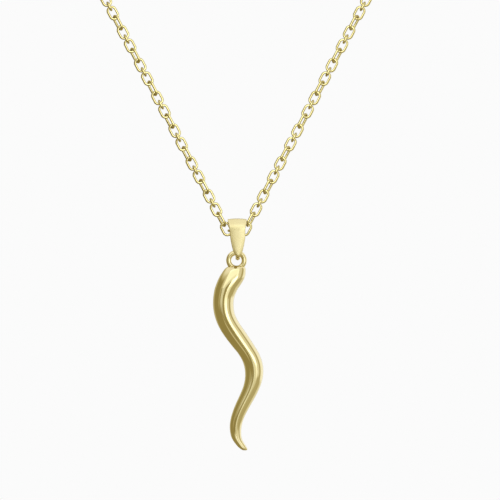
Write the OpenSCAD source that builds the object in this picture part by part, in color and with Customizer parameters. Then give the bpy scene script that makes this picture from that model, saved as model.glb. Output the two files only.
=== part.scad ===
// Horn charm on a cable chain, in millimetres, as it hangs when worn.
// The origin is at the nape, in the middle of the clasp, with +Z up and the front at -Y.
// The chain leaves the bail as a straight-sided V, turns back over the shoulders and closes at the nape.
// A drop is a height measured downwards: the bail's from its top edge, the horn's from its ring's middle.

/* [Chain] */
// Thickness of the wire that every link is bent from
wire = 0.4; // [0.36:0.02:0.4]
// Gap between two links that hook into each other
link_gap = 0.13; // [0.12:0.01:0.14]
// Outer length of a link that shows its face
flat_link_l = 2.9; // [2.8:0.05:3]
// Outer length of a link that is rolled half over
long_link_l = 3.32; // [3.2:0.02:3.4]
// Outer width of both of these oval links
oval_link_w = 2.1; // [2:0.05:2.2]
// Outer diameter of the round link that is seen on edge
round_link_d = 2; // [1.98:0.01:2.04]
// Roll of a long link from the face of its neighbours
long_link_roll = 60; // [50:1:75]
// Roll of the long link next to the bail, which stays clear of its edge
first_link_roll = 70; // [66:1:80]
// Links on the right side, which ends with a flat link
links_right = 119; // [91:4:127]

/* [Way round the neck] */
// Lean of each side of the V from the vertical
strand_lean = 27.7; // [24:0.1:32]
// Distance along the strand from the corner of the V to the first link's middle
first_link_at = 4.24; // [4.2:0.01:4.3]
// Radius of the bend over the shoulder
shoulder_r = 45; // [35:1:55]
// Turn of the bend over the shoulder
shoulder_turn = 75; // [65:1:85]
// Straight stretch from the end of the neck's bend to the middle of the back
nape_run = 8; // [6:1:15]

/* [Bail] */
// Height of the bail's top edge above the corner of the V
bail_top = 5.84; // [5.8:0.01:5.9]
// Distance of the bail's middle to the right of the V's middle line
bail_shift = 0.25; // [0.2:0.01:0.3]
// Thickness of the bail's strap
strap_t = 0.38; // [0.3:0.01:0.4]
// Outer radius of the arch that hangs on the chain
arch_r = 2.1; // [2.05:0.05:2.3]
// Inner radius of the bail's foot, round the ring's wire
foot_inner_r = 1.15; // [1.1:0.01:1.2]
// Thickness of the foot, where the strap's two ends lie on each other
foot_t = 0.4; // [0.35:0.05:0.5]

/* [Ring] */
// Distance of the ring's middle below the corner of the V
ring_below = 2.54; // [2.5:0.01:2.6]
// Distance of the ring's middle to the right of the V's middle line
ring_shift = 0.08; // [0:0.01:0.12]
// Radius of the ring, to the middle of its wire
ring_r = 1.55; // [1.5:0.01:1.6]
// Thickness of the ring's wire
ring_wire = 1.02; // [0.9:0.01:1.05]

/* [Horn] */
// Sides of each cross section of the horn
horn_sides = 20; // [12:2:24]
// Steps from one row of the horn's table to the next
horn_steps = 2; // [1:1:3]

/* [Clasp] */
// Outer diameter of the clasp's round body
clasp_d = 6; // [5.5:0.1:7]
// Thickness of the clasp's body
clasp_t = 1.2; // [1.1:0.05:1.3]
// Outer diameter of the small eye on the clasp
eye_d = 2.05; // [2:0.05:2.2]
// Thickness of the eye's wire
eye_t = 0.45; // [0.4:0.05:0.5]
// Depth to which the eye is soldered into the clasp's body
eye_sunk = 0.3; // [0.25:0.05:0.35]
// Outer diameter of the jump ring that the clasp holds
jump_ring_d = 2.8; // [2.7:0.05:3]

/* [Hidden] */
$fn = 48;

gold = [0.87, 0.75, 0.42];
pale_gold = [0.92, 0.84, 0.58];

// Each kind of link: half its length and half its width to the middle of the wire, and its roll
LENGTH = 0;
WIDTH = 1;
ROLL = 2;
flat_link = [(flat_link_l - wire) / 2, (oval_link_w - wire) / 2, 0];
long_link = [(long_link_l - wire) / 2, (oval_link_w - wire) / 2, long_link_roll];
round_link = [(round_link_d - wire) / 2, (round_link_d - wire) / 2, 90];
PATTERN = [flat_link, long_link, flat_link, round_link];
repeat = len(PATTERN);

// Distance between the middles of two kinds of link that hook into each other
function hook(a, b) = a[LENGTH] + b[LENGTH] - wire - link_gap;
period = 2 * hook(flat_link, long_link) + 2 * hook(flat_link, round_link);
PLACES = [
    0,
    hook(flat_link, long_link),
    2 * hook(flat_link, long_link),
    2 * hook(flat_link, long_link) + hook(flat_link, round_link)
];

// Place of a link along its side, counted from the bail outwards, and its roll
function link_at(k) = first_link_at + floor(k / repeat) * period + PLACES[k % repeat];
function link_roll(k) = k == 1 ? first_link_roll : PATTERN[k % repeat][ROLL];

// The clasp: its body and eye to the middle of their wire, and what it takes of each side
links_left = links_right + 1;
clasp_r = (clasp_d - clasp_t) / 2;
eye_r = (eye_d - eye_t) / 2;
eye_at = clasp_d / 2 + eye_r - eye_sunk;
jump_r = (jump_ring_d - wire) / 2;
jump_after = round_link[LENGTH] - link_gap - wire + jump_r;
body_after = jump_r - wire / 2 + clasp_r - clasp_t / 2 - link_gap;
right_end = link_at(links_right - 1) + flat_link[LENGTH]
    + eye_at + eye_r - eye_t / 2 - link_gap - wire / 2;
left_end = link_at(links_left - 1) + jump_after + body_after;
half_run = (right_end + left_end) / 2;

// The way round: a straight front, a bend over the shoulder, a bend round the neck and a straight nape.
// The neck's bend ends along -X, which fixes its turn, its radius and the length of the front.
neck_turn = acos(-cos(shoulder_turn) * sin(strand_lean));
neck_roll = atan2(cos(strand_lean), sin(shoulder_turn) * sin(strand_lean));
function radians(angle) = angle * PI / 180;
shoulder_run = shoulder_r * radians(shoulder_turn);
neck_share = radians(neck_turn) / sin(neck_turn);
shoulder_out = shoulder_r * sin(shoulder_turn) * sin(strand_lean);
front_run = (half_run - nape_run - shoulder_run - neck_share * (shoulder_out - nape_run))
    / (1 + neck_share * sin(strand_lean));
neck_r = (front_run * sin(strand_lean) + shoulder_out - nape_run) / sin(neck_turn);

// Frames along the right side: X runs along the chain, Z faces forwards out of a flat link
function move_by(v) = [[1, 0, 0, v.x], [0, 1, 0, v.y], [0, 0, 1, v.z], [0, 0, 0, 1]];
function turn_x(a) = [[1, 0, 0, 0], [0, cos(a), -sin(a), 0], [0, sin(a), cos(a), 0], [0, 0, 0, 1]];
function turn_y(a) = [[cos(a), 0, sin(a), 0], [0, 1, 0, 0], [-sin(a), 0, cos(a), 0], [0, 0, 0, 1]];
function bend(r, a) = move_by([r * sin(a), 0, -r * (1 - cos(a))]) * turn_y(a);
function bend_by_run(r, run) = bend(r, run / r * 180 / PI);
corner = [
    [sin(strand_lean), -cos(strand_lean), 0, 0],
    [0, 0, -1, 0],
    [cos(strand_lean), sin(strand_lean), 0, 0],
    [0, 0, 0, 1]
];
shoulder_start = corner * move_by([front_run, 0, 0]);
neck_start = shoulder_start * bend(shoulder_r, shoulder_turn) * turn_x(neck_roll);
nape_start = neck_start * bend(neck_r, neck_turn) * turn_x(-neck_roll);
function run_frame(run) =
    run < front_run ? corner * move_by([run, 0, 0])
    : run < front_run + shoulder_run ? shoulder_start * bend_by_run(shoulder_r, run - front_run)
    : run < half_run - nape_run
        ? neck_start * bend_by_run(neck_r, run - front_run - shoulder_run) * turn_x(-neck_roll)
    : nape_start * move_by([run - half_run + nape_run, 0, 0]);
nape = run_frame(half_run);
depth = nape[1][3];
height = nape[2][3];

// The bail's side view: its foot goes round the top of the ring's wire
foot_z = ring_r - ring_below;
foot_drop = bail_top - foot_z + foot_inner_r + foot_t;
foot_outer_r = foot_inner_r + strap_t;

// The bail's front outline: the drop from its top edge, and half its width there
DROP = 0;
HALF = 1;
CUT_MARGIN = 0.05;
BAIL_OUTLINE = [
    [0.0, 1.90],
    [0.2, 1.86],
    [0.7, 1.74],
    [1.5, 1.57],
    [2.5, 1.46],
    [3.8, 1.40],
    [4.6, 1.30],
    [5.4, 1.18],
    [6.2, 1.02],
    [7.0, 0.80],
    [7.5, 0.62],
    [8.0, 0.47],
    [8.3, 0.30],
    [foot_drop + CUT_MARGIN, 0.12]
];

// The horn: the drop below the ring's middle, the left and right edges seen from the front, and the depth
LEFT = 1;
RIGHT = 2;
DEEP = 3;
HORN = [
    [1.15, -1.95, 1.88, 3.20],
    [1.40, -2.10, 1.90, 3.60],
    [1.92, -2.42, 1.90, 4.05],
    [2.72, -2.98, 1.90, 4.50],
    [3.52, -3.48, 1.70, 4.70],
    [4.32, -3.78, 1.28, 4.60],
    [5.12, -4.10, 0.74, 4.45],
    [5.92, -4.36, 0.26, 4.30],
    [7.52, -4.58, -0.42, 4.15],
    [9.12, -4.60, -0.50, 4.10],
    [10.72, -4.40, -0.26, 4.00],
    [12.32, -3.88, 0.48, 3.90],
    [13.92, -3.14, 1.60, 3.90],
    [15.52, -2.02, 2.66, 3.80],
    [17.12, -0.82, 3.68, 3.65],
    [18.72, 0.54, 4.62, 3.60],
    [20.32, 1.38, 5.26, 3.65],
    [21.92, 1.76, 5.44, 3.60],
    [23.52, 1.80, 5.36, 3.45],
    [25.12, 1.48, 4.82, 3.20],
    [26.72, 0.86, 4.18, 3.00],
    [28.32, 0.08, 3.24, 2.80],
    [29.92, -0.58, 2.40, 2.65],
    [31.52, -1.02, 1.54, 2.50],
    [33.12, -1.26, 1.10, 2.30],
    [34.72, -1.14, 1.02, 2.05],
    [35.92, -0.72, 1.28, 1.75],
    [37.12, 0.28, 1.96, 1.30],
    [37.72, 0.95, 2.24, 0.95],
    [38.00, 1.50, 2.05, 0.40]
];

// Smooth curve through four neighbouring values, at a share of the way from the second to the third
function smooth(a, b, c, d, share) =
    b + 0.5 * share * (c - a + share * (2 * a - 5 * b + 4 * c - d + share * (3 * (b - c) + d - a)));
function row(i) = HORN[max(0, min(len(HORN) - 1, i))];
function horn_row(i, share) = smooth(row(i - 1), row(i), row(i + 1), row(i + 2), share);
horn_rows = [
    for (i = [0 : len(HORN) - 2], step = [0 : horn_steps - 1]) horn_row(i, step / horn_steps),
    HORN[len(HORN) - 1]
];
function horn_point(r, angle) = [
    (r[LEFT] + r[RIGHT] + (r[RIGHT] - r[LEFT]) * cos(angle)) / 2,
    r[DEEP] / 2 * sin(angle),
    -r[DROP]
];

// Moves what hangs at the front from the V's corner to its place below the nape
module at_front() {
    translate([0, -depth, -height]) children();
}

module torus(r, thick) {
    rotate_extrude() translate([r, 0]) circle(d = thick);
}

// A link lying in the XY plane with its length along X
module link(kind) {
    length = kind[LENGTH];
    width = kind[WIDTH];
    if (length > width) {
        for (turn = [0, 180]) rotate([0, 0, turn]) {
            translate([length - width, 0, 0]) rotate([0, 0, -90])
                rotate_extrude(angle = 180) translate([width, 0]) circle(d = wire);
            translate([width - length, width, 0]) rotate([0, 90, 0])
                cylinder(d = wire, h = 2 * (length - width));
        }
    } else {
        torus(length, wire);
    }
}

module side_links(count) {
    for (k = [0 : count - 1])
        multmatrix(run_frame(link_at(k))) rotate([link_roll(k), 0, 0]) link(PATTERN[k % repeat]);
}

// The right side of the chain, with the link that carries the bail
module chain_right() {
    color(gold) at_front() {
        side_links(links_right);
        translate([0, 0, cos(strand_lean) * (first_link_at - flat_link[LENGTH] + flat_link[WIDTH])])
            link(long_link);
    }
}

// The left side of the chain, with the jump ring at its end
module chain_left() {
    color(gold) at_front() mirror([1, 0, 0]) {
        side_links(links_left);
        multmatrix(run_frame(link_at(links_left - 1) + jump_after)) torus(jump_r, wire);
    }
}

// The bail seen from the side, between an arch and a foot of the given radii and heights
module drop_shape(top_r, top_z, low_r, low_z) {
    span = top_z - low_z;
    slope = asin((top_r - low_r) / span);
    translate([0, top_z]) circle(r = top_r);
    translate([0, low_z]) circle(r = low_r);
    polygon([
        [top_r * cos(slope), top_z - top_r * sin(slope)],
        [-top_r * cos(slope), top_z - top_r * sin(slope)],
        [-low_r * cos(slope), low_z - low_r * sin(slope)],
        [low_r * cos(slope), low_z - low_r * sin(slope)]
    ]);
}

module bail() {
    arch_z = bail_top - arch_r;
    strap_w = 2 * BAIL_OUTLINE[0][HALF];
    color(pale_gold) at_front() translate([bail_shift, 0, 0]) intersection() {
        rotate([90, 0, 90]) linear_extrude(strap_w + CUT_MARGIN, center = true) difference() {
            drop_shape(arch_r, arch_z, foot_outer_r, bail_top - foot_drop + foot_outer_r);
            drop_shape(arch_r - strap_t, arch_z, foot_inner_r, foot_z);
        }
        rotate([90, 0, 0]) linear_extrude(2 * (arch_r + CUT_MARGIN), center = true) polygon([
            for (r = BAIL_OUTLINE) [r[HALF], bail_top - r[DROP]],
            for (i = [len(BAIL_OUTLINE) - 1 : -1 : 0])
                [-BAIL_OUTLINE[i][HALF], bail_top - BAIL_OUTLINE[i][DROP]]
        ]);
    }
}

// The horn's body, one ring of points for each row and a flat cap at each end
module horn_body() {
    rows = len(horn_rows);
    polyhedron(
        points = [for (r = horn_rows, j = [0 : horn_sides - 1]) horn_point(r, 360 * j / horn_sides)],
        faces = [
            [for (j = [horn_sides - 1 : -1 : 0]) j],
            [for (j = [0 : horn_sides - 1]) (rows - 1) * horn_sides + j],
            for (i = [0 : rows - 2], j = [0 : horn_sides - 1])
                let (a = i * horn_sides + j, b = i * horn_sides + (j + 1) % horn_sides)
                each [[a, b, a + horn_sides], [b, b + horn_sides, a + horn_sides]]
        ]
    );
}

// The horn and the ring that is cast on its top, as one solid
module horn() {
    color(gold) at_front() translate([0, 0, -ring_below]) {
        horn_body();
        translate([ring_shift, 0, 0]) rotate([90, 0, 0]) torus(ring_r, ring_wire);
    }
}

// The clasp at the nape, one plain piece: a round body and a small eye
module clasp() {
    color(gold) at_front() multmatrix(run_frame(right_end)) rotate([90, 0, 0]) {
        torus(clasp_r, clasp_t);
        translate([-eye_at, 0, 0]) torus(eye_r, eye_t);
    }
}

chain_right();
chain_left();
bail();
horn();
clasp();
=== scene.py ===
"""Horn charm on a cable chain: fine meshes, metal finishes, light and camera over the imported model.

Sizes are in millimetres and turns in degrees until a mesh is made, because every object is in metres.
The origin is at the nape, with +Z up and the front of the necklace at -Y. A drop is a height that is
measured downwards.
"""

from __future__ import annotations

import logging
import math
from dataclasses import dataclass, field, replace
from enum import Enum
from typing import Callable, Iterable, Mapping, Sequence

import bmesh
import bpy
from mathutils import Matrix, Quaternion, Vector

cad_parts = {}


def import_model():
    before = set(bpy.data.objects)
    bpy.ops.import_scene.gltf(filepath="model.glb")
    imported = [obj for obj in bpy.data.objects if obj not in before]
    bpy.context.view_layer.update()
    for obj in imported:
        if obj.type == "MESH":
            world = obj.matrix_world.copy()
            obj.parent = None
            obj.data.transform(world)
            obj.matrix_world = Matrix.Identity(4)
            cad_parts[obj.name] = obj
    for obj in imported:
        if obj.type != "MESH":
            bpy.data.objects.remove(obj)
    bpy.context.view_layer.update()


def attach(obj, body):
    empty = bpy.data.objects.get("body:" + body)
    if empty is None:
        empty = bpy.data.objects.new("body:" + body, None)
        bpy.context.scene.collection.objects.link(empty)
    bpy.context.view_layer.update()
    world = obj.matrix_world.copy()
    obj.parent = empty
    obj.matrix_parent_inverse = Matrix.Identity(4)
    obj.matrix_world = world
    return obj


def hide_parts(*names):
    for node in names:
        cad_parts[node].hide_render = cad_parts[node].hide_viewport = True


log = logging.getLogger("necklace")

MM = 0.001
# The middle of the picture, to the right of the V's corner and below it
LOOK_RIGHT = 2.78
LOOK_BELOW = 0.46

Row = tuple[float, ...]
Colour = tuple[float, float, float]


class Side(Enum):
    """The two sides of the chain, seen from the front."""

    RIGHT = 1
    LEFT = -1


class LinkKind(Enum):
    """What a link looks like from the front."""

    FLAT = 0
    LONG = 1
    ROUND = 2
    JUMP = 3


# Small helpers for frames, meshes and node trees


def sine(angle: float) -> float:
    """Sine of an angle in degrees."""
    return math.sin(math.radians(angle))


def cosine(angle: float) -> float:
    """Cosine of an angle in degrees."""
    return math.cos(math.radians(angle))


def turn_x(angle: float) -> Matrix:
    """Turn about X by an angle in degrees."""
    return Matrix.Rotation(math.radians(angle), 4, "X")


def turn_y(angle: float) -> Matrix:
    """Turn about Y by an angle in degrees."""
    return Matrix.Rotation(math.radians(angle), 4, "Y")


def move(x: float, y: float, z: float) -> Matrix:
    """Move by a vector."""
    return Matrix.Translation((x, y, z))


def bend(radius: float, angle: float) -> Matrix:
    """Frame at the end of a bend of a radius, after an angle in degrees."""
    return move(radius * sine(angle), 0, -radius * (1 - cosine(angle))) @ turn_y(angle)


def between(rows: Sequence[Row], at: float) -> Row:
    """Values of a table at a place between its rows.

    Args:
        rows: rows of numbers, the first number of each being its place, in rising order.
        at: the place that is asked for, in the unit of the first column.

    Returns:
        The other columns' values there, on straight lines between the rows.
    """
    if at <= rows[0][0]:
        return rows[0][1:]
    for low, high in zip(rows, rows[1:]):
        if at <= high[0]:
            share = (at - low[0]) / (high[0] - low[0])
            return tuple(a + (b - a) * share for a, b in zip(low[1:], high[1:]))
    return rows[-1][1:]


def smooth(a: float, b: float, c: float, d: float, share: float) -> float:
    """Smooth curve through four neighbouring values, at a share of the way from b to c."""
    return b + 0.5 * share * (
        c - a + share * (2 * a - 5 * b + 4 * c - d + share * (3 * (b - c) + d - a))
    )


def smooth_rows(rows: Sequence[Row], steps: int) -> list[Row]:
    """Rows of a table with smooth steps put between them.

    Args:
        rows: the table, a row of numbers for each section.
        steps: how many steps are made from one row to the next.

    Returns:
        The longer table, with the first and last rows unchanged.
    """
    count = len(rows)

    def row(i: int) -> Row:
        """Row of the table, or the nearest one past its ends."""
        return rows[max(0, min(count - 1, i))]

    finer = [
        tuple(smooth(*four, step / steps) for four in zip(row(i - 1), row(i), row(i + 1), row(i + 2)))
        for i in range(count - 1)
        for step in range(steps)
    ]
    return [*finer, rows[-1]]


def skin(mesh: bmesh.types.BMesh, rings: Sequence[Sequence[Vector]]) -> None:
    """Adds a closed skin over rings of points, with a cap at each end.

    Args:
        mesh: the mesh that gets the skin.
        rings: rings with the same number of points each, in order along the piece.
    """
    rows = [[mesh.verts.new(p) for p in ring] for ring in rings]
    for low, high in zip(rows, rows[1:]):
        for j in range(len(low)):
            k = (j + 1) % len(low)
            mesh.faces.new((low[j], low[k], high[k], high[j]))
    mesh.faces.new(rows[0])
    mesh.faces.new(rows[-1])


def torus(
    mesh: bmesh.types.BMesh,
    frame: Matrix,
    radius: float,
    thick: float,
    steps: int,
    sides: int,
) -> None:
    """Adds a torus that lies in the XY plane of a frame.

    Args:
        mesh: the mesh that gets the torus.
        frame: the torus's place, in millimetres.
        radius: radius to the middle of its wire.
        thick: thickness of the wire.
        steps: steps round the torus.
        sides: sides of the wire.
    """
    rows = []
    for i in range(steps):
        around = 2 * math.pi * i / steps
        row = []
        for j in range(sides):
            across = 2 * math.pi * j / sides
            out = radius + thick / 2 * math.cos(across)
            point = Vector((out * math.cos(around), out * math.sin(around), thick / 2 * math.sin(across)))
            row.append(mesh.verts.new(frame @ point))
        rows.append(row)
    for i in range(steps):
        low, high = rows[i], rows[(i + 1) % steps]
        for j in range(sides):
            k = (j + 1) % sides
            mesh.faces.new((low[j], high[j], high[k], low[k]))


def solid(name: str, build: Callable[[bmesh.types.BMesh], None]) -> bpy.types.Object:
    """Makes an object of a closed mesh that a function builds in millimetres.

    Args:
        name: the object's name.
        build: adds the geometry to an empty mesh.

    Returns:
        The object, in metres, at the origin, with its faces pointing outwards.
    """
    made = bmesh.new()
    build(made)
    bmesh.ops.scale(made, vec=(MM, MM, MM), verts=made.verts)
    bmesh.ops.recalc_face_normals(made, faces=made.faces)
    if made.calc_volume(signed=True) < 0:
        bmesh.ops.reverse_faces(made, faces=made.faces)
    mesh = bpy.data.meshes.new(name)
    made.to_mesh(mesh)
    made.free()
    piece = bpy.data.objects.new(name, mesh)
    bpy.context.scene.collection.objects.link(piece)
    return piece


def plain_mesh(piece: bpy.types.Object, drop: Iterable[str] = ()) -> None:
    """Turns an object's modifiers into its own mesh and removes them.

    Args:
        piece: the object with live modifiers.
        drop: names of attributes that were only needed to build it.
    """
    graph = bpy.context.evaluated_depsgraph_get()
    shown = piece.evaluated_get(graph)
    made = bpy.data.meshes.new_from_object(shown, preserve_all_data_layers=True, depsgraph=graph)
    piece.modifiers.clear()
    piece.data = made
    made.name = piece.name
    for name in drop:
        if name in made.attributes:
            made.attributes.remove(made.attributes[name])


def combine(piece: bpy.types.Object, other: bpy.types.Object, operation: str) -> None:
    """Joins another solid to a piece, or cuts it out of the piece, and removes the other solid.

    Args:
        piece: the piece, which keeps the result as its mesh.
        other: the solid that is joined or cut out.
        operation: UNION or DIFFERENCE.
    """
    change = piece.modifiers.new(operation.lower(), "BOOLEAN")
    change.operation = operation
    change.solver = "EXACT"
    change.object = other
    bpy.context.view_layer.update()
    plain_mesh(piece)
    spare = other.data
    bpy.data.objects.remove(other)
    bpy.data.meshes.remove(spare)


def shade(piece: bpy.types.Object, crease: float) -> None:
    """Smooth shading that stays sharp where two faces meet at more than an angle in degrees."""
    piece.data.polygons.foreach_set("use_smooth", [True] * len(piece.data.polygons))
    piece.data.set_sharp_from_angle(angle=math.radians(crease))


def blank_material(name: str) -> bpy.types.Material:
    """Makes a material whose node tree is empty."""
    made = bpy.data.materials.new(name)
    made.use_nodes = True
    made.node_tree.nodes.clear()
    return made


def add_node(
    tree: bpy.types.NodeTree,
    kind: str,
    given: Mapping[str | int, object] | None = None,
    **settings: str,
) -> bpy.types.Node:
    """Adds a node to a tree.

    Args:
        tree: the tree that gets it.
        kind: Blender's name for that kind of node.
        given: its inputs by name or by place, each a socket to join to it or a plain value.
        settings: the node's own options.

    Returns:
        The node.
    """
    node = tree.nodes.new(kind)
    for name, value in settings.items():
        setattr(node, name, value)
    for name, value in (given or {}).items():
        if isinstance(value, bpy.types.NodeSocket):
            tree.links.new(value, node.inputs[name])
        else:
            node.inputs[name].default_value = value
    return node


def work_out(
    tree: bpy.types.NodeTree,
    operation: str,
    *values: bpy.types.NodeSocket | float,
) -> bpy.types.NodeSocket:
    """Adds a math node to a tree.

    Args:
        tree: the tree that gets it.
        operation: what it works out.
        values: its inputs, each a socket or a number.

    Returns:
        The socket that gives the result.
    """
    node = add_node(tree, "ShaderNodeMath", dict(enumerate(values)), operation=operation)
    return node.outputs["Value"]


# Finishes


@dataclass(frozen=True)
class GoldFinish:
    """A plated gold finish, with faint clouds in its colour and fine marks of the polishing.

    The noises run from about noise_low to noise_high, and satin_share is the size of the patches in the
    satin for each size of the marks.
    """

    name: str
    colour: Colour
    deep_colour: Colour
    roughness: float
    roughness_spread: float
    cloud_mm: float
    mark_mm: float
    mark_depth_mm: float
    satin_share: float = 2.5
    cloud_detail: float = 3.0
    satin_detail: float = 4.0
    mark_detail: float = 2.0
    noise_low: float = 0.3
    noise_high: float = 0.7
    mark_strength: float = 0.5

    def material(self) -> bpy.types.Material:
        """Builds the node material of this finish.

        Returns:
            A metal whose colour, roughness and bump vary over the piece's Object coordinates.
        """
        made = blank_material(self.name)
        tree = made.node_tree
        clouds = self._noise(tree, self.cloud_mm, self.cloud_detail)
        colours = add_node(tree, "ShaderNodeValToRGB", {"Fac": clouds})
        low, high = colours.color_ramp.elements
        low.position, low.color = self.noise_low, (*self.deep_colour, 1)
        high.position, high.color = self.noise_high, (*self.colour, 1)
        satin = {
            "Value": self._noise(tree, self.satin_share * self.mark_mm, self.satin_detail),
            "From Min": self.noise_low,
            "From Max": self.noise_high,
            "To Min": self.roughness - self.roughness_spread,
            "To Max": self.roughness + self.roughness_spread,
        }
        marks = {
            "Strength": self.mark_strength,
            "Distance": self.mark_depth_mm * MM,
            "Height": self._noise(tree, self.mark_mm, self.mark_detail),
        }
        metal = {
            "Metallic": 1.0,
            "Base Color": colours.outputs["Color"],
            "Roughness": add_node(tree, "ShaderNodeMapRange", satin).outputs["Result"],
            "Normal": add_node(tree, "ShaderNodeBump", marks).outputs["Normal"],
        }
        shader = add_node(tree, "ShaderNodeBsdfPrincipled", metal)
        add_node(tree, "ShaderNodeOutputMaterial", {"Surface": shader.outputs["BSDF"]})
        return made

    @staticmethod
    def _noise(tree: bpy.types.NodeTree, size_mm: float, detail: float) -> bpy.types.NodeSocket:
        """Adds a noise over the piece's Object coordinates.

        Args:
            tree: the tree that gets it.
            size_mm: size of its patches, in millimetres.
            detail: how many finer noises lie over it.

        Returns:
            The socket that gives the noise.
        """
        place = add_node(tree, "ShaderNodeTexCoord").outputs["Object"]
        given = {"Vector": place, "Scale": 1 / (size_mm * MM), "Detail": detail}
        return add_node(tree, "ShaderNodeTexNoise", given).outputs["Fac"]


CHAIN_GOLD = GoldFinish(
    name="chain_gold",
    colour=(0.66, 0.57, 0.26),
    deep_colour=(0.57, 0.475, 0.185),
    roughness=0.07,
    roughness_spread=0.02,
    cloud_mm=1.6,
    mark_mm=0.30,
    mark_depth_mm=0.0006,
)
BAIL_GOLD = GoldFinish(
    name="bail_gold",
    colour=(0.85, 0.745, 0.41),
    deep_colour=(0.81, 0.70, 0.36),
    roughness=0.36,
    roughness_spread=0.02,
    cloud_mm=2.4,
    mark_mm=0.30,
    mark_depth_mm=0.0008,
)
HORN_GOLD = GoldFinish(
    name="horn_gold",
    colour=(0.80, 0.70, 0.385),
    deep_colour=(0.76, 0.655, 0.345),
    roughness=0.08,
    roughness_spread=0.015,
    cloud_mm=5.0,
    mark_mm=0.30,
    mark_depth_mm=0.0012,
)
CLASP_GOLD = GoldFinish(
    name="clasp_gold",
    colour=(0.80, 0.66, 0.30),
    deep_colour=(0.72, 0.57, 0.22),
    roughness=0.15,
    roughness_spread=0.03,
    cloud_mm=2.0,
    mark_mm=0.20,
    mark_depth_mm=0.002,
)


# The chain and its way round the neck


@dataclass(frozen=True)
class LinkShape:
    """A link's half length and half width to the middle of its wire, and its roll in the chain."""

    half_length: float
    half_width: float
    roll: float


@dataclass(frozen=True)
class ChainSizes:
    """Sizes of the links and of the clasp, as the solids have them.

    The shown wire is thicker than the solid's. Each shown link is longer by the stretch and narrower by the
    trim at each end or side of its wire's middle line, which keeps the thicker links clear of each other.
    """

    wire: float = 0.4
    link_gap: float = 0.13
    flat: LinkShape = LinkShape(1.25, 0.85, 0.0)
    long: LinkShape = LinkShape(1.46, 0.85, 60.0)
    round: LinkShape = LinkShape(0.8, 0.8, 90.0)
    jump: LinkShape = LinkShape(1.2, 1.2, 0.0)
    first_link_roll: float = 70.0
    first_link_at: float = 4.24
    links_right: int = 119
    shown_wire: float = 0.54
    shown_stretch: float = 0.01
    shown_trim: float = 0.06
    clasp_d: float = 6.0
    clasp_t: float = 1.2
    eye_d: float = 2.05
    eye_t: float = 0.45
    eye_sunk: float = 0.3

    @property
    def pattern(self) -> tuple[LinkKind, ...]:
        """The order of the links, which repeats."""
        return (LinkKind.FLAT, LinkKind.LONG, LinkKind.FLAT, LinkKind.ROUND)

    @property
    def clasp_r(self) -> float:
        """Radius of the clasp's body, to the middle of its wire."""
        return (self.clasp_d - self.clasp_t) / 2

    @property
    def eye_r(self) -> float:
        """Radius of the clasp's eye, to the middle of its wire."""
        return (self.eye_d - self.eye_t) / 2

    @property
    def eye_at(self) -> float:
        """Distance from the clasp's middle to its eye's middle."""
        return self.clasp_d / 2 + self.eye_r - self.eye_sunk

    def shape(self, kind: LinkKind) -> LinkShape:
        """Shape of a kind of link."""
        return {
            LinkKind.FLAT: self.flat,
            LinkKind.LONG: self.long,
            LinkKind.ROUND: self.round,
            LinkKind.JUMP: self.jump,
        }[kind]

    def kind(self, k: int) -> LinkKind:
        """Kind of a link, counted from the bail outwards."""
        return self.pattern[k % len(self.pattern)]

    def roll(self, k: int) -> float:
        """Roll of a link, counted from the bail outwards."""
        return self.first_link_roll if k == 1 else self.shape(self.kind(k)).roll

    def hook(self, a: LinkShape, b: LinkShape) -> float:
        """Distance between the middles of two links that hook into each other."""
        return a.half_length + b.half_length - self.wire - self.link_gap

    def link_at(self, k: int) -> float:
        """Distance of a link along its side from the corner of the V.

        Args:
            k: the link's number, counted from the bail outwards.

        Returns:
            The distance to the link's middle.
        """
        wide, near = self.hook(self.flat, self.long), self.hook(self.flat, self.round)
        places = (0.0, wide, 2 * wide, 2 * wide + near)
        repeats, place = divmod(k, len(self.pattern))
        return self.first_link_at + repeats * 2 * (wide + near) + places[place]

    @property
    def jump_after(self) -> float:
        """Distance from the left side's last link to the jump ring's middle."""
        return self.round.half_length - self.link_gap - self.wire + self.jump.half_length

    @property
    def right_end(self) -> float:
        """Distance of the clasp's middle along the right side."""
        last = self.link_at(self.links_right - 1) + self.flat.half_length
        return last + self.eye_at + self.eye_r - self.eye_t / 2 - self.link_gap - self.wire / 2

    @property
    def left_end(self) -> float:
        """Distance of the clasp's middle along the left side."""
        to_body = self.jump.half_length - self.wire / 2 + self.clasp_r - self.clasp_t / 2 - self.link_gap
        return self.link_at(self.links_right) + self.jump_after + to_body


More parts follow.
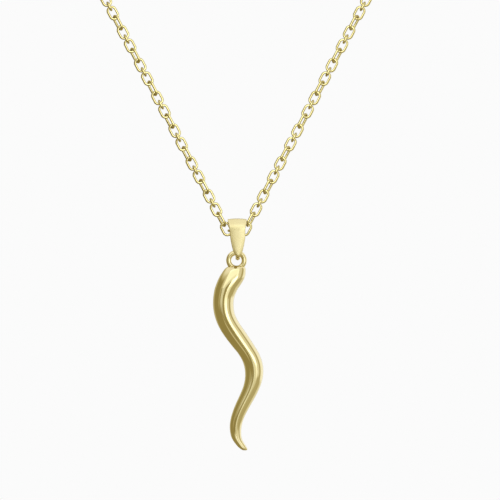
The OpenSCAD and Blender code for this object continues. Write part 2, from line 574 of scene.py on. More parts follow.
@dataclass(frozen=True)
class NecklaceWay:
    """The chain's way: a straight front, a bend over the shoulder, one round the neck, a straight nape."""

    sizes: ChainSizes = ChainSizes()
    strand_lean: float = 27.7
    shoulder_r: float = 45.0
    shoulder_turn: float = 75.0
    nape_run: float = 8.0

    @property
    def half_run(self) -> float:
        """Length of one side of the loop."""
        return (self.sizes.right_end + self.sizes.left_end) / 2

    @property
    def shoulder_run(self) -> float:
        """Length of the bend over the shoulder."""
        return self.shoulder_r * math.radians(self.shoulder_turn)

    @property
    def neck_turn(self) -> float:
        """Turn of the bend round the neck."""
        return math.degrees(math.acos(-cosine(self.shoulder_turn) * sine(self.strand_lean)))

    @property
    def neck_roll(self) -> float:
        """Roll of the chain's frame before and after the bend round the neck."""
        across = sine(self.shoulder_turn) * sine(self.strand_lean)
        return math.degrees(math.atan2(cosine(self.strand_lean), across))

    @property
    def shoulder_out(self) -> float:
        """How far the bend over the shoulder leads outwards."""
        return self.shoulder_r * sine(self.shoulder_turn) * sine(self.strand_lean)

    @property
    def front_run(self) -> float:
        """Length of the straight front."""
        share = math.radians(self.neck_turn) / sine(self.neck_turn)
        rest = self.half_run - self.nape_run - self.shoulder_run - share * (self.shoulder_out - self.nape_run)
        return rest / (1 + share * sine(self.strand_lean))

    @property
    def neck_r(self) -> float:
        """Radius of the bend round the neck."""
        out = self.front_run * sine(self.strand_lean) + self.shoulder_out - self.nape_run
        return out / sine(self.neck_turn)

    def local_frame(self, run: float) -> Matrix:
        """Frame along the right side, counted from the corner of the V.

        Args:
            run: distance along the chain.

        Returns:
            A frame with X along the chain and Z out of a flat link's face.
        """
        out, up = sine(self.strand_lean), cosine(self.strand_lean)
        corner = Matrix(((out, -up, 0, 0), (0, 0, -1, 0), (up, out, 0, 0), (0, 0, 0, 1)))
        if run < self.front_run:
            return corner @ move(run, 0, 0)
        shoulder = corner @ move(self.front_run, 0, 0)
        after = run - self.front_run
        if after < self.shoulder_run:
            return shoulder @ bend(self.shoulder_r, math.degrees(after / self.shoulder_r))
        neck = shoulder @ bend(self.shoulder_r, self.shoulder_turn) @ turn_x(self.neck_roll)
        if run < self.half_run - self.nape_run:
            past = after - self.shoulder_run
            return neck @ bend(self.neck_r, math.degrees(past / self.neck_r)) @ turn_x(-self.neck_roll)
        nape = neck @ bend(self.neck_r, self.neck_turn) @ turn_x(-self.neck_roll)
        return nape @ move(run - self.half_run + self.nape_run, 0, 0)

    def frame(self, run: float, side: Side) -> Matrix:
        """Frame along one side of the chain, in the necklace's own frame.

        Args:
            run: distance along the chain.
            side: which side.

        Returns:
            A turned and moved frame that is never mirrored: a link is the same on both of its faces, so
            the left side takes the right side's mirror image with its Z turned round.
        """
        nape = self.local_frame(self.half_run).translation
        made = move(0, -nape.y, -nape.z) @ self.local_frame(run)
        if side is Side.LEFT:
            made = Matrix.Diagonal((-1, 1, 1, 1)) @ made @ Matrix.Diagonal((1, 1, -1, 1))
        return made

    @property
    def corner(self) -> Vector:
        """Place of the corner of the V in the necklace's own frame."""
        nape = self.local_frame(self.half_run).translation
        return Vector((0.0, -nape.y, -nape.z))


@dataclass(frozen=True)
class LinkPlace:
    """A link's kind and its place."""

    kind: LinkKind
    frame: Matrix


@dataclass
class LinkTree:
    """A node tree that bends a link of each kind and lays the links on marked points.

    It keeps the identifiers of its inputs by their names.
    """

    bend_steps: int = 14
    wire_sides: int = 5
    inputs: dict[str, str] = field(default_factory=dict)

    def build(self) -> bpy.types.NodeTree:
        """Builds the tree.

        Returns:
            A tree that takes points with a turn and a kind and gives the finished links.
        """
        tree = bpy.data.node_groups.new("lay_links", "GeometryNodeTree")
        face = tree.interface
        face.new_socket("Geometry", in_out="INPUT", socket_type="NodeSocketGeometry")
        face.new_socket("Geometry", in_out="OUTPUT", socket_type="NodeSocketGeometry")
        link_sizes = [name for kind in LinkKind for name in self.size_names(kind)]
        for name in (*link_sizes, "Wire Radius"):
            self._add_input(face, name, "NodeSocketFloat")
        for name in ("Bend Steps", "Wire Sides"):
            self._add_input(face, name, "NodeSocketInt")
        self._add_input(face, "Finish", "NodeSocketMaterial")

        given = add_node(tree, "NodeGroupInput").outputs
        profile = {"Resolution": given["Wire Sides"], "Radius": given["Wire Radius"]}
        wire = add_node(tree, "GeometryNodeCurvePrimitiveCircle", profile).outputs["Curve"]
        turn = add_node(tree, "GeometryNodeInputNamedAttribute", {"Name": "turn"}, data_type="QUATERNION")
        marked = add_node(tree, "GeometryNodeInputNamedAttribute", {"Name": "kind"}, data_type="INT")
        together = add_node(tree, "GeometryNodeJoinGeometry")
        for kind in LinkKind:
            chosen = add_node(tree, "FunctionNodeCompare", data_type="INT", operation="EQUAL")
            pair = [s for s in chosen.inputs if s.enabled]
            tree.links.new(marked.outputs["Attribute"], pair[0])
            pair[1].default_value = kind.value
            points = {
                "Points": given["Geometry"],
                "Selection": chosen.outputs["Result"],
                "Instance": self._one_link(tree, given, wire, kind),
                "Rotation": turn.outputs["Attribute"],
            }
            laid = add_node(tree, "GeometryNodeInstanceOnPoints", points)
            tree.links.new(laid.outputs["Instances"], together.inputs["Geometry"])
        made = together.outputs["Geometry"]
        for step in ("GeometryNodeRealizeInstances", "GeometryNodeSetShadeSmooth"):
            made = add_node(tree, step, {"Geometry": made}).outputs["Geometry"]
        dressed = add_node(tree, "GeometryNodeSetMaterial", {"Geometry": made, "Material": given["Finish"]})
        add_node(tree, "NodeGroupOutput", {"Geometry": dressed.outputs["Geometry"]})
        return tree

    def _add_input(self, face: bpy.types.NodeTreeInterface, name: str, socket_type: str) -> None:
        """Adds an input to the tree's interface and keeps its identifier."""
        self.inputs[name] = face.new_socket(name, in_out="INPUT", socket_type=socket_type).identifier

    @staticmethod
    def size_names(kind: LinkKind) -> tuple[str, str]:
        """Names of the inputs for a kind's half length and half width."""
        title = f"{kind.name.title()} Link"
        return f"{title} Half Length", f"{title} Half Width"

    def _one_link(
        self,
        tree: bpy.types.NodeTree,
        given: bpy.types.NodeOutputs,
        wire: bpy.types.NodeSocket,
        kind: LinkKind,
    ) -> bpy.types.NodeSocket:
        """Adds the nodes that bend one kind of link: a circle pulled apart into an oval, and its wire.

        Args:
            tree: the tree.
            given: the tree's inputs.
            wire: the socket that gives the wire's profile.
            kind: the kind of link.

        Returns:
            The socket that gives the link's mesh.
        """
        half_length, half_width = (given[name] for name in self.size_names(kind))
        circle = {"Resolution": given["Bend Steps"], "Radius": half_width}
        middle = add_node(tree, "GeometryNodeCurvePrimitiveCircle", circle).outputs["Curve"]
        place = add_node(tree, "GeometryNodeInputPosition").outputs["Position"]
        along = add_node(tree, "ShaderNodeSeparateXYZ", {"Vector": place}).outputs["X"]
        straight = work_out(tree, "SUBTRACT", half_length, half_width)
        shift = work_out(tree, "MULTIPLY", work_out(tree, "SIGN", along), straight)
        offset = add_node(tree, "ShaderNodeCombineXYZ", {"X": shift}).outputs["Vector"]
        pulled = add_node(tree, "GeometryNodeSetPosition", {"Geometry": middle, "Offset": offset})
        curves = {"Curve": pulled.outputs["Geometry"], "Profile Curve": wire}
        return add_node(tree, "GeometryNodeCurveToMesh", curves).outputs["Mesh"]


@dataclass
class CableChain:
    """The two sides of the chain, each a row of links laid by the node tree."""

    way: NecklaceWay
    finish: GoldFinish

    def side_places(self, side: Side) -> list[LinkPlace]:
        """Places of all the links of a side.

        Args:
            side: which side.

        Returns:
            The links from the bail to the nape, and then the link in the bail or the jump ring.
        """
        sizes = self.way.sizes
        count = sizes.links_right + (1 if side is Side.LEFT else 0)
        mirrored = side.value
        places = [
            LinkPlace(
                sizes.kind(k),
                self.way.frame(sizes.link_at(k), side) @ turn_x(mirrored * sizes.roll(k)),
            )
            for k in range(count)
        ]
        if side is Side.RIGHT:
            reach = sizes.first_link_at - sizes.flat.half_length + sizes.flat.half_width
            lift = cosine(self.way.strand_lean) * reach
            places.append(LinkPlace(LinkKind.LONG, Matrix.Translation(self.way.corner) @ move(0, 0, lift)))
        else:
            at = sizes.link_at(count - 1) + sizes.jump_after
            places.append(LinkPlace(LinkKind.JUMP, self.way.frame(at, side)))
        return places

    def build_side(
        self,
        side: Side,
        tree: LinkTree,
        nodes: bpy.types.NodeTree,
        gold: bpy.types.Material,
    ) -> bpy.types.Object:
        """Builds one side of the chain as a plain mesh.

        Args:
            side: which side.
            tree: the description of the node tree, with its inputs' identifiers.
            nodes: the node tree itself.
            gold: the links' material.

        Returns:
            The side's object, at the origin.
        """
        name = f"cable_chain_{side.name.lower()}"
        piece = bpy.data.objects.new(name, self._marked_points(f"{name}_points", self.side_places(side)))
        bpy.context.scene.collection.objects.link(piece)
        laid = piece.modifiers.new("links", "NODES")
        laid.node_group = nodes
        self._set_inputs(laid, tree, gold)
        bpy.context.view_layer.update()
        plain_mesh(piece, ("turn", "kind"))
        self._face_outwards(piece.data)
        piece.data.materials.clear()
        piece.data.materials.append(gold)
        piece.data.polygons.foreach_set("material_index", [0] * len(piece.data.polygons))
        return piece

    @staticmethod
    def _marked_points(name: str, places: Sequence[LinkPlace]) -> bpy.types.Mesh:
        """Makes a point for each link, marked with the link's kind and its turn.

        Args:
            name: the mesh's name.
            places: the links' kinds and places.

        Returns:
            A mesh of loose points.
        """
        points = bpy.data.meshes.new(name)
        points.from_pydata([place.frame.translation * MM for place in places], [], [])
        kinds = points.attributes.new("kind", "INT", "POINT")
        kinds.data.foreach_set("value", [place.kind.value for place in places])
        turned: list[Quaternion] = [place.frame.to_3x3().to_quaternion() for place in places]
        turns = points.attributes.new("turn", "QUATERNION", "POINT")
        turns.data.foreach_set("value", [part for turn in turned for part in turn])
        return points

    def _set_inputs(self, laid: bpy.types.NodesModifier, tree: LinkTree, gold: bpy.types.Material) -> None:
        """Sets the sizes and the material of the links on a side's modifier.

        Args:
            laid: the modifier.
            tree: the description of its node tree.
            gold: the links' material.
        """
        sizes = self.way.sizes
        for kind in LinkKind:
            shape = sizes.shape(kind)
            middle_width = shape.half_width - sizes.shown_trim
            straight = shape.half_length + sizes.shown_stretch - middle_width
            half_width = middle_width / math.cos(math.pi / tree.bend_steps)
            length_name, width_name = tree.size_names(kind)
            laid[tree.inputs[length_name]] = (half_width + straight) * MM
            laid[tree.inputs[width_name]] = half_width * MM
        laid[tree.inputs["Wire Radius"]] = sizes.shown_wire / 2 * MM
        laid[tree.inputs["Bend Steps"]] = tree.bend_steps
        laid[tree.inputs["Wire Sides"]] = tree.wire_sides
        laid[tree.inputs["Finish"]] = gold

    @staticmethod
    def _face_outwards(mesh: bpy.types.Mesh) -> None:
        """Turns every face round if the links came out inside out.

        Args:
            mesh: the links' mesh.
        """
        made = bmesh.new()
        made.from_mesh(mesh)
        if made.calc_volume(signed=True) < 0:
            bmesh.ops.reverse_faces(made, faces=made.faces)
            made.to_mesh(mesh)
        made.free()

    def dress(self) -> list[bpy.types.Object]:
        """Builds both sides, rides them on the chain and hides the plain solids.

        Returns:
            The two objects.
        """
        gold = self.finish.material()
        tree = LinkTree()
        nodes = tree.build()
        made = []
        for side in Side:
            piece = self.build_side(side, tree, nodes, gold)
            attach(piece, "chain")
            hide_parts(f"chain_{side.name.lower()}")
            made.append(piece)
        return made


# The clasp


@dataclass
class SpringClasp:
    """The clasp at the nape: a round body with a small eye soldered to it."""

    way: NecklaceWay
    finish: GoldFinish
    body_steps: int = 72
    body_sides: int = 24
    eye_steps: int = 36
    eye_sides: int = 12
    crease: float = 40.0

    def dress(self) -> bpy.types.Object:
        """Builds the clasp, rides it on the chain and hides the plain solid.

        Returns:
            The clasp's object.
        """
        sizes = self.way.sizes
        place = self.way.frame(sizes.right_end, Side.RIGHT) @ turn_x(90)
        piece = solid(
            "spring_clasp",
            lambda m: torus(m, place, sizes.clasp_r, sizes.clasp_t, self.body_steps, self.body_sides),
        )
        eye = solid(
            "clasp_eye",
            lambda m: torus(
                m, place @ move(-sizes.eye_at, 0, 0), sizes.eye_r, sizes.eye_t, self.eye_steps, self.eye_sides
            ),
        )
        combine(piece, eye, "UNION")
        shade(piece, self.crease)
        piece.data.materials.clear()
        piece.data.materials.append(self.finish.material())
        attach(piece, "chain")
        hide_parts("clasp")
        return piece


# The bail


@dataclass(frozen=True)
class StrapStep:
    """A step along the strap's middle line, seen from the side.

    It lies so far forwards of the V's corner and so far below the bail's top, and the strap's outer face
    looks along out_ahead and out_down there.
    """

    ahead: float
    drop: float
    out_ahead: float
    out_down: float
    rear: bool


@dataclass
class FoldedBail:
    """The bail: a tapered strap folded over the chain, with its ends round the ring's wire.

    Each row of its front leaf and of its rear tongue has a drop below the top and the places of the left
    and the right edge there. The ends' angles are counted downwards from the line that points forwards.
    """

    corner: Vector
    finish: GoldFinish
    top: float = 5.84
    thick: float = 0.38
    arch_r: float = 2.1
    foot_drop: float = 6.83
    foot_inner_r: float = 1.15
    leaf_end: float = 41.0
    tongue_end: float = 56.0
    crown: float = 0.34
    crown_power: float = 2.5
    widest_edge: float = 0.9
    tip_thick: float = 0.45
    tip_rise: float = 0.11
    round_rings: int = 8
    end_narrowing: float = 0.96
    leaf_steps: int = 12
    side_steps: int = 24
    arch_steps: int = 40
    tongue_steps: int = 24
    outer_steps: int = 12
    inner_steps: int = 8
    edge_steps: int = 6
    crease: float = 50.0
    front_rows: tuple[Row, ...] = (
        (0.00, -1.72, 2.13),
        (0.35, -1.68, 2.14),
        (0.70, -1.60, 2.12),
        (1.10, -1.50, 2.04),
        (1.46, -1.42, 1.96),
        (2.26, -1.32, 1.84),
        (3.00, -1.25, 1.83),
        (3.84, -1.17, 1.84),
        (4.62, -1.04, 1.72),
        (5.42, -0.88, 1.57),
        (6.20, -0.69, 1.39),
        (7.00, -0.40, 1.18),
        (7.35, -0.18, 1.04),
        (7.55, 0.00, 0.88),
        (7.66, 0.18, 0.72),
        (7.70, 0.36, 0.56),
    )
    rear_rows: tuple[Row, ...] = (
        (0.00, -1.72, 2.13),
        (0.35, -1.68, 2.14),
        (0.70, -1.60, 2.12),
        (1.46, -1.34, 1.96),
        (2.26, -1.09, 1.84),
        (3.84, -1.00, 1.84),
        (5.42, -0.74, 1.55),
        (6.20, -0.50, 1.27),
        (7.00, -0.22, 0.94),
        (7.60, -0.14, 0.80),
        (8.40, -0.10, 0.76),
    )

    def side_path(self) -> list[StrapStep]:
        """The strap's middle line, seen from the side.

        Returns:
            The steps from the front leaf's tip over the arch to the rear tongue's end.
        """
        arch_mid = self.arch_r - self.thick / 2
        foot_mid = self.foot_inner_r + self.thick / 2
        slope = math.asin((arch_mid - foot_mid) / (self.foot_drop - self.arch_r))
        steps: list[StrapStep] = []

        def on_bend(middle: float, radius: float, angle: float, rear: bool) -> None:
            """Adds a step on a bend, at an angle below the line that points forwards."""
            along, down = math.cos(angle), math.sin(angle)
            steps.append(StrapStep(radius * along, middle + radius * down, along, down, rear))

        def on_side(share: float, rear: bool) -> None:
            """Adds a step on a straight side, at a share of the way up from the foot to the arch."""
            low = foot_mid * math.cos(slope), self.foot_drop + foot_mid * math.sin(slope)
            high = arch_mid * math.cos(slope), self.arch_r + arch_mid * math.sin(slope)
            ahead, drop = (a + (b - a) * share for a, b in zip(low, high))
            facing = -1 if rear else 1
            steps.append(StrapStep(facing * ahead, drop, facing * math.cos(slope), math.sin(slope), rear))

        leaf, tongue = math.radians(self.leaf_end), math.radians(self.tongue_end)
        for i in range(self.leaf_steps):
            on_bend(self.foot_drop, foot_mid, leaf + (slope - leaf) * i / self.leaf_steps, False)
        for i in range(self.side_steps):
            on_side(i / self.side_steps, False)
        for i in range(self.arch_steps + 1):
            angle = slope - (math.pi + 2 * slope) * i / self.arch_steps
            on_bend(self.arch_r, arch_mid, angle, angle < -math.pi / 2)
        for i in range(1, self.side_steps):
            on_side(1 - i / self.side_steps, True)
        rear_start = math.pi - slope
        for i in range(self.tongue_steps + 1):
            angle = rear_start - (rear_start - tongue) * i / self.tongue_steps
            on_bend(self.foot_drop, foot_mid, angle, True)
        return steps

    def section(self, left: float, right: float, thick: float) -> list[tuple[float, float]]:
        """The strap's cross section, with round edges and a crown on its outer face.

        Args:
            left: place of its left edge.
            right: place of its right edge.
            thick: thickness.

        Returns:
            Points across the strap, each with its height from the middle of the thickness.
        """
        middle, half = (left + right) / 2, (right - left) / 2
        edge = min(thick / 2, half * self.widest_edge)
        lowered = self.crown * thick
        centre, reach = -lowered / 2, (thick - lowered) / 2
        points: list[tuple[float, float]] = []

        def round_edge(side: int) -> None:
            """Adds a round edge, from the outer face at the right or from the inner face at the left."""
            for i in range(1, self.edge_steps):
                angle = side * math.pi / 2 - math.pi * i / self.edge_steps
                x = middle + side * (half - edge) + edge * math.cos(angle)
                points.append((x, centre + reach * math.sin(angle)))

        for i in range(self.outer_steps + 1):
            across = -1 + 2 * i / self.outer_steps
            height = thick / 2 - lowered * abs(across) ** self.crown_power
            points.append((middle + across * (half - edge), height))
        round_edge(1)
        for i in range(self.inner_steps + 1):
            across = 1 - 2 * i / self.inner_steps
            points.append((middle + across * (half - edge), -thick / 2))
        round_edge(-1)
        return points

    def edges(self, step: StrapStep, from_end: int) -> tuple[float, float]:
        """Places of the strap's two edges at a step, which narrow to a round end at the rear.

        Args:
            step: the step.
            from_end: how many steps lie between it and the rear tongue's end.

        Returns:
            The left edge's place and the right edge's.
        """
        left, right = between(self.rear_rows if step.rear else self.front_rows, step.drop)
        if not step.rear or from_end >= self.round_rings:
            return left, right
        from_round = 1 - from_end / self.round_rings
        narrow = math.sqrt(1 - from_round**2 * self.end_narrowing)
        middle, half = (left + right) / 2, (right - left) / 2 * narrow
        return middle - half, middle + half

    def add_strap(self, mesh: bmesh.types.BMesh) -> None:
        """Adds the whole strap to a mesh, thinner towards both of its ends.

        Args:
            mesh: the mesh that gets it.
        """
        path = self.side_path()
        rings = []
        for i, step in enumerate(path):
            from_end = len(path) - 1 - i
            left, right = self.edges(step, from_end)
            thin = min(1.0, self.tip_thick + self.tip_rise * min(i, from_end))
            ring = []
            for x, out in self.section(left, right, self.thick * thin):
                y = -(step.ahead + out * step.out_ahead)
                z = self.top - (step.drop + out * step.out_down)
                ring.append(self.corner + Vector((x, y, z)))
            rings.append(ring)
        skin(mesh, rings)

    def dress(self) -> bpy.types.Object:
        """Builds the bail, rides it on its body and hides the plain solid.

        Returns:
            The bail's object.
        """
        piece = solid("folded_bail", self.add_strap)
        shade(piece, self.crease)
        piece.data.materials.append(self.finish.material())
        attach(piece, "bail")
        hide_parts("bail")
        return piece


# The horn


@dataclass
class HornCharm:
    """The horn charm, cast in one with the ring on its top.

    Each row has a drop below the ring's middle, the places of the left and the right edge seen from the
    front, and the depth. The pit is a small hollow where the ring meets the horn, stretched in depth.
    """

    corner: Vector
    finish: GoldFinish
    ring_below: float = 2.54
    ring_shift: float = 0.08
    ring_r: float = 1.55
    ring_wire: float = 1.02
    ring_steps: int = 96
    ring_sides: int = 32
    pit_r: float = 0.31
    pit_shift: float = -0.10
    pit_ahead: float = 1.10
    pit_below: float = 1.36
    pit_depth: float = 3.0
    pit_fineness: int = 3
    crease: float = 38.0
    sides: int = 56
    steps: int = 7
    rows: tuple[Row, ...] = (
        (1.045, -0.35, 0.45, 0.55),
        (1.08, -0.95, 1.05, 1.30),
        (1.16, -1.38, 1.45, 1.85),
        (1.30, -1.72, 1.72, 2.25),
        (1.55, -2.08, 1.86, 2.62),
        (1.92, -2.42, 1.92, 2.96),
        (2.72, -2.98, 1.88, 3.44),
        (3.52, -3.44, 1.68, 3.78),
        (4.32, -3.80, 1.26, 4.02),
        (5.12, -4.10, 0.74, 4.18),
        (5.92, -4.34, 0.24, 4.26),
        (7.52, -4.58, -0.38, 4.27),
        (9.12, -4.60, -0.50, 4.20),
        (10.72, -4.38, -0.26, 4.08),
        (12.32, -3.88, 0.50, 3.97),
        (13.92, -3.10, 1.58, 3.88),
        (15.52, -2.04, 2.66, 3.80),
        (17.12, -0.80, 3.70, 3.73),
        (18.72, 0.48, 4.62, 3.67),
        (20.32, 1.36, 5.22, 3.60),
        (21.92, 1.76, 5.44, 3.51),
        (23.52, 1.78, 5.32, 3.39),
        (25.12, 1.46, 4.86, 3.25),
        (26.72, 0.84, 4.14, 3.09),
        (28.32, 0.10, 3.26, 2.92),
        (29.92, -0.56, 2.36, 2.74),
        (31.52, -1.04, 1.58, 2.55),
        (33.12, -1.26, 1.12, 2.33),
        (34.72, -1.12, 1.02, 2.05),
        (35.92, -0.66, 1.26, 1.75),
        (37.12, 0.24, 1.96, 1.45),
        (37.66, 0.84, 2.26, 1.20),
        (37.90, 1.24, 2.22, 0.85),
        (37.99, 1.54, 2.00, 0.40),
    )

    def add_body(self, mesh: bmesh.types.BMesh) -> None:
        """Adds the horn's body to a mesh: one oval section for each row, from the dome to the tip.

        Args:
            mesh: the mesh that gets it.
        """
        middle = self.corner + Vector((0, 0, -self.ring_below))
        rings = []
        for drop, left, right, deep in smooth_rows(self.rows, self.steps):
            ring = []
            for j in range(self.sides):
                angle = 2 * math.pi * j / self.sides
                x = (left + right + (right - left) * math.cos(angle)) / 2
                ring.append(middle + Vector((x, deep / 2 * math.sin(angle), -drop)))
            rings.append(ring)
        skin(mesh, rings)

    def add_ring(self, mesh: bmesh.types.BMesh) -> None:
        """Adds the ring on the horn's top to a mesh.

        Args:
            mesh: the mesh that gets it.
        """
        place = Matrix.Translation(self.corner) @ move(self.ring_shift, 0, -self.ring_below) @ turn_x(90)
        torus(mesh, place, self.ring_r, self.ring_wire, self.ring_steps, self.ring_sides)

    def add_pit(self, mesh: bmesh.types.BMesh) -> None:
        """Adds the form of the small pit below the ring to a mesh.

        Args:
            mesh: the mesh that gets it.
        """
        below = self.ring_below + self.pit_below
        place = Matrix.Translation(self.corner) @ move(self.pit_shift, -self.pit_ahead, -below)
        place @= Matrix.Diagonal((1, self.pit_depth, 1, 1))
        bmesh.ops.create_icosphere(mesh, subdivisions=self.pit_fineness, radius=self.pit_r, matrix=place)

    def dress(self) -> bpy.types.Object:
        """Builds the horn with its ring and the small pit below it, and hides the plain solid.

        Returns:
            The horn's object.
        """
        piece = solid("horn_charm", self.add_body)
        combine(piece, solid("horn_ring", self.add_ring), "UNION")
        combine(piece, solid("horn_pit", self.add_pit), "DIFFERENCE")
        shade(piece, self.crease)
        piece.data.materials.clear()
        piece.data.materials.append(self.finish.material())
        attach(piece, "horn")
        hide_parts("horn")
        return piece


# Floor, light and camera


@dataclass(frozen=True)
class TentWall:
    """A wall of the light tent, by the direction in which it stands from the necklace.

    Azimuth 0 is towards the camera and turns to the right; elevation is above the horizon.
    """

    name: str
    azimuth: float
    half_width: float
    elevation: float
    half_height: float
    soft: float
    brightness: float


@dataclass(frozen=True)
class SoftPanel:
    """A soft panel of light in front of the necklace, by its edges from the middle of the horn's ring.

    A panel lights only the pieces that it is set up for, and its lean turns its edges to a side of the
    chain. One with a low_brightness is made of strips, which go over evenly to that at its low edge.
    """

    name: str
    left: float
    right: float
    low: float
    high: float
    brightness: float
    lean: float = 0.0
    pieces: tuple[str, ...] = ("horn_charm", "folded_bail")
    low_brightness: float | None = None

    def strips(self, count: int) -> list[SoftPanel]:
        """The panel itself, or the strips of one that fades.

        Args:
            count: how many strips a panel that fades has.

        Returns:
            Plain panels, from the top one down.
        """
        if self.low_brightness is None:
            return [self]
        height = (self.high - self.low) / count
        step = (self.low_brightness - self.brightness) / count
        return [
            replace(
                self,
                name=f"{self.name}_{k + 1}",
                high=self.high - k * height,
                low=self.high - (k + 1) * height,
                brightness=self.brightness + (k + 0.5) * step,
                low_brightness=None,
            )
            for k in range(count)
        ]


@dataclass
class Studio:
    """A pale floor, a tent of soft light round the necklace, and the camera in front of it.

    The floor fades from one share of its radius to another. The powers of green and blue make the tent
    warmer where it is dim. The walls' and the panels' columns are the fields of their classes.
    """

    look_at: Vector
    ring: Vector
    view_width: float = 100.0
    distance: float = 2500.0
    clip_near: float = 10.0
    clip_far: float = 20000.0
    floor_below: float = 75.0
    floor_ahead: float = 40.0
    floor_r: float = 420.0
    floor_thick: float = 1.0
    floor_steps: int = 96
    floor_hole_r: float = 0.001
    fade_start: float = 0.35
    fade_end: float = 0.97
    grain_scale: float = 60.0
    grain_tones: tuple[float, float] = (0.93, 0.96)
    backdrop: float = 0.965
    fill: float = 0.36
    green_power: float = 1.15
    blue_power: float = 1.86
    panel_ahead: float = 100.0
    fade_strips: int = 6
    walls: tuple[TentWall, ...] = (
        TentWall("ceiling", 0, 200, 90, 58, 14, 1.05),
        TentWall("brow", -12, 40, 43, 26, 5, 0.80),
        TentWall("low_front_wall", 0, 17, -25, 12, 5, 1.15),
        TentWall("left_glow", -50, 14, 14, 28, 14, 0.56),
        TentWall("low_left_stripe", -26, 8, -21, 9, 8, 0.78),
        TentWall("right_front_wall", 45, 23, 14, 26, 7, 0.90),
        TentWall("side_wall", 80, 80, -20, 60, 8, 0.55),
        TentWall("far_right_wall", 125, 40, 15, 35, 9, 1.15),
        TentWall("low_far_right_wall", 135, 40, -25, 26, 12, 0.88),
        TentWall("far_left_wall", -145, 30, 15, 40, 15, 0.60),
    )
    panels: tuple[SoftPanel, ...] = (
        SoftPanel("key_panel", 19, 84, -8, 15, 1.35),
        SoftPanel("key_fade", 19, 84, -20, -8, 1.35, low_brightness=0.45),
        SoftPanel("stripe_panel", -72, -19, -12, 15, 0.50),
        SoftPanel("stripe_fade", -72, -19, -32, -12, 0.50, low_brightness=0.0),
        SoftPanel("high_panel", -75, 75, 15, 110, 0.55),
        SoftPanel("right_low_panel", 26, 88, -34, -20, 0.45),
        SoftPanel("right_low_fade", 26, 88, -66, -34, 0.45, low_brightness=0.0),
        SoftPanel("low_panel", -2, 22, -70, -22, 0.50),
        SoftPanel("bail_panel", -30, 30, -50, 24, 0.29, pieces=("folded_bail",)),
        SoftPanel("right_chain_panel", -80, 10, -30, 120, 2.50, lean=27.7, pieces=("cable_chain_right",)),
        SoftPanel("left_chain_panel", -10, 80, -30, 120, 2.50, lean=-27.7, pieces=("cable_chain_left",)),
    )
    panel_colour: Colour = (0.74, 0.83, 1.0)

    def build_floor(self) -> None:
        """Builds the pale floor below the necklace, a disc that fades out towards its edge."""
        centre = Vector((self.look_at.x, -self.floor_ahead, self.look_at.z - self.floor_below))
        floor = solid("pale_floor", lambda m: self._add_disc(m, centre))
        floor.data.materials.append(self._floor_paper(centre))
        floor.visible_glossy = False

    def _floor_paper(self, centre: Vector) -> bpy.types.Material:
        """Builds the floor's material, a matt pale grain that grows clear towards the floor's edge.

        Args:
            centre: the floor's middle.

        Returns:
            The material.
        """
        made = blank_material("pale_floor")
        tree = made.node_tree
        place = add_node(tree, "ShaderNodeTexCoord").outputs["Object"]
        middle = add_node(tree, "ShaderNodeMapping", {"Vector": place, "Location": tuple(-centre * MM)})
        away = add_node(tree, "ShaderNodeVectorMath", {0: middle.outputs["Vector"]}, operation="LENGTH")
        fade = {
            "Value": away.outputs["Value"],
            "From Min": self.fade_start * self.floor_r * MM,
            "From Max": self.fade_end * self.floor_r * MM,
        }
        faded = add_node(tree, "ShaderNodeMapRange", fade, interpolation_type="SMOOTHSTEP")
        grain = add_node(tree, "ShaderNodeTexNoise", {"Vector": place, "Scale": self.grain_scale})
        dark, pale = self.grain_tones
        tones = {"Value": grain.outputs["Fac"], "To Min": dark, "To Max": pale}
        tone = add_node(tree, "ShaderNodeMapRange", tones).outputs["Result"]
        paper = add_node(tree, "ShaderNodeBsdfDiffuse", {"Color": tone}).outputs["BSDF"]
        clear = add_node(tree, "ShaderNodeBsdfTransparent").outputs["BSDF"]
        mixed = add_node(tree, "ShaderNodeMixShader", {"Fac": faded.outputs["Result"], 1: paper, 2: clear})
        add_node(tree, "ShaderNodeOutputMaterial", {"Surface": mixed.outputs["Shader"]})
        return made

    def _add_disc(self, mesh: bmesh.types.BMesh, centre: Vector) -> None:
        """Adds a thin round disc whose top is at a place.

        Args:
            mesh: the mesh that gets it.
            centre: the middle of its top.
        """
        hole, rim, thick = self.floor_hole_r, self.floor_r, self.floor_thick
        angles = [2 * math.pi * j / self.floor_steps for j in range(self.floor_steps)]
        rings = [
            [centre + Vector((radius * math.cos(a), radius * math.sin(a), -drop)) for a in angles]
            for radius, drop in ((hole, 0.0), (rim, 0.0), (rim, thick), (hole, thick))
        ]
        skin(mesh, rings)

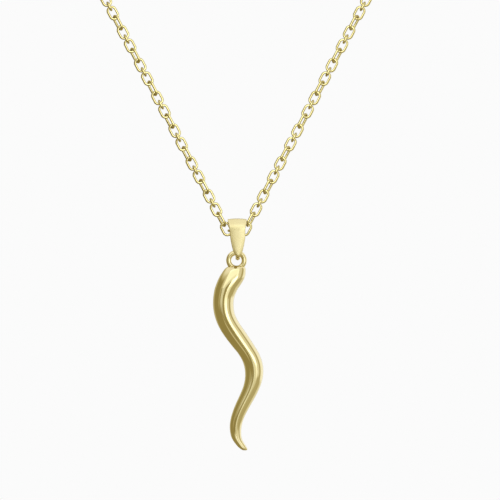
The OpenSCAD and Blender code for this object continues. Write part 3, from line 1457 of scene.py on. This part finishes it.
    def build_light(self) -> None:
        """Lights the necklace from all round, brighter where a soft box stands and white for the camera."""
        world = bpy.data.worlds.new("light_tent")
        world.use_nodes = True
        tree = world.node_tree
        tree.nodes.clear()
        towards = add_node(tree, "ShaderNodeTexCoord").outputs["Generated"]
        split = add_node(tree, "ShaderNodeSeparateXYZ", {"Vector": towards}).outputs
        azimuth = work_out(tree, "ARCTAN2", split["X"], work_out(tree, "MULTIPLY", split["Y"], -1.0))
        elevation = work_out(tree, "ARCSINE", split["Z"])
        total: bpy.types.NodeSocket | float = self.fill
        for wall in self.walls:
            total = work_out(tree, "MAXIMUM", self._wall_light(tree, wall, azimuth, elevation), total)
        warm = {
            "Red": total,
            "Green": work_out(tree, "POWER", total, self.green_power),
            "Blue": work_out(tree, "POWER", total, self.blue_power),
        }
        colour = add_node(tree, "ShaderNodeCombineColor", warm).outputs["Color"]
        tent = add_node(tree, "ShaderNodeBackground", {"Color": colour}).outputs["Background"]
        white = add_node(tree, "ShaderNodeBackground", {"Color": (self.backdrop,) * 3 + (1,)})
        seen = add_node(tree, "ShaderNodeLightPath").outputs["Is Camera Ray"]
        choice = {"Fac": seen, 1: tent, 2: white.outputs["Background"]}
        mixed = add_node(tree, "ShaderNodeMixShader", choice)
        add_node(tree, "ShaderNodeOutputWorld", {"Surface": mixed.outputs["Shader"]})
        bpy.context.scene.world = world

    def _wall_light(
        self,
        tree: bpy.types.NodeTree,
        wall: TentWall,
        azimuth: bpy.types.NodeSocket,
        elevation: bpy.types.NodeSocket,
    ) -> bpy.types.NodeSocket:
        """Adds the nodes of one wall of the tent.

        Args:
            tree: the world's node tree.
            wall: the wall.
            azimuth: the direction's azimuth, in radians.
            elevation: its elevation, in radians.

        Returns:
            How bright the wall is in that direction.
        """
        turned = work_out(tree, "SUBTRACT", azimuth, math.radians(wall.azimuth))
        raised = work_out(tree, "SUBTRACT", elevation, math.radians(wall.elevation))
        aside = work_out(tree, "ABSOLUTE", work_out(tree, "WRAP", turned, math.pi, -math.pi))
        above = work_out(tree, "ABSOLUTE", raised)
        shares = []
        for off, half in ((aside, wall.half_width), (above, wall.half_height)):
            edge = {
                "Value": off,
                "From Min": math.radians(half + wall.soft),
                "From Max": math.radians(half - wall.soft),
            }
            share = add_node(tree, "ShaderNodeMapRange", edge, interpolation_type="SMOOTHSTEP")
            shares.append(share.outputs["Result"])
        return work_out(tree, "MULTIPLY", work_out(tree, "MULTIPLY", *shares), wall.brightness)

    def build_panels(self) -> None:
        """Sets the soft panels up in front of the necklace, facing it, out of the camera's sight."""
        for panel in self.panels:
            for strip in panel.strips(self.fade_strips):
                self._add_panel(strip)

    def _add_panel(self, panel: SoftPanel) -> None:
        """Adds one plain panel to the scene.

        Args:
            panel: the panel, or a strip of one that fades.
        """
        light = bpy.data.lights.new(panel.name, "AREA")
        light.shape = "RECTANGLE"
        light.size = (panel.right - panel.left) * MM
        light.size_y = (panel.high - panel.low) * MM
        light.energy = math.pi * light.size * light.size_y * panel.brightness / self.panel_colour[0]
        light.color = self.panel_colour
        lamp = bpy.data.objects.new(panel.name, light)
        middle = Vector(((panel.left + panel.right) / 2, -self.panel_ahead, (panel.low + panel.high) / 2))
        lamp.location = (self.ring + turn_y(panel.lean) @ middle) * MM
        lamp.rotation_euler = (turn_y(panel.lean) @ turn_x(90)).to_euler()
        bpy.context.scene.collection.objects.link(lamp)
        lit = bpy.data.collections.new(f"{panel.name}_pieces")
        for name in panel.pieces:
            lit.objects.link(bpy.data.objects[name])
        lamp.light_linking.receiver_collection = lit

    def build_camera(self) -> None:
        """Sets the scene's camera in front of the horn, with a long lens."""
        lens = bpy.data.cameras.new("front_camera")
        lens.sensor_width = 36.0
        lens.lens = lens.sensor_width * self.distance / self.view_width
        lens.clip_start, lens.clip_end = self.clip_near * MM, self.clip_far * MM
        camera = bpy.data.objects.new("front_camera", lens)
        camera.location = (self.look_at + Vector((0, -self.distance, 0))) * MM
        camera.rotation_euler = (math.radians(90), 0, 0)
        bpy.context.scene.collection.objects.link(camera)
        bpy.context.scene.camera = camera

    def build(self) -> None:
        """Builds the floor, the light and the camera, and keeps colours as they are lit."""
        self.build_floor()
        self.build_light()
        self.build_panels()
        self.build_camera()
        bpy.context.scene.view_settings.view_transform = "Standard"


def main() -> None:
    """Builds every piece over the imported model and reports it."""
    logging.basicConfig(level=logging.INFO, format="%(name)s: %(message)s")
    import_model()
    way = NecklaceWay()
    corner = way.corner
    horn = HornCharm(corner, HORN_GOLD)
    pieces = [
        *CableChain(way, CHAIN_GOLD).dress(),
        SpringClasp(way, CLASP_GOLD).dress(),
        FoldedBail(corner, BAIL_GOLD).dress(),
        horn.dress(),
    ]
    look_at = corner + Vector((LOOK_RIGHT, 0, -LOOK_BELOW))
    Studio(look_at=look_at, ring=corner + Vector((0, 0, -horn.ring_below))).build()
    for piece in pieces:
        log.info("%s: %d faces", piece.name, len(piece.data.polygons))


if __name__ == "__main__":
    main()
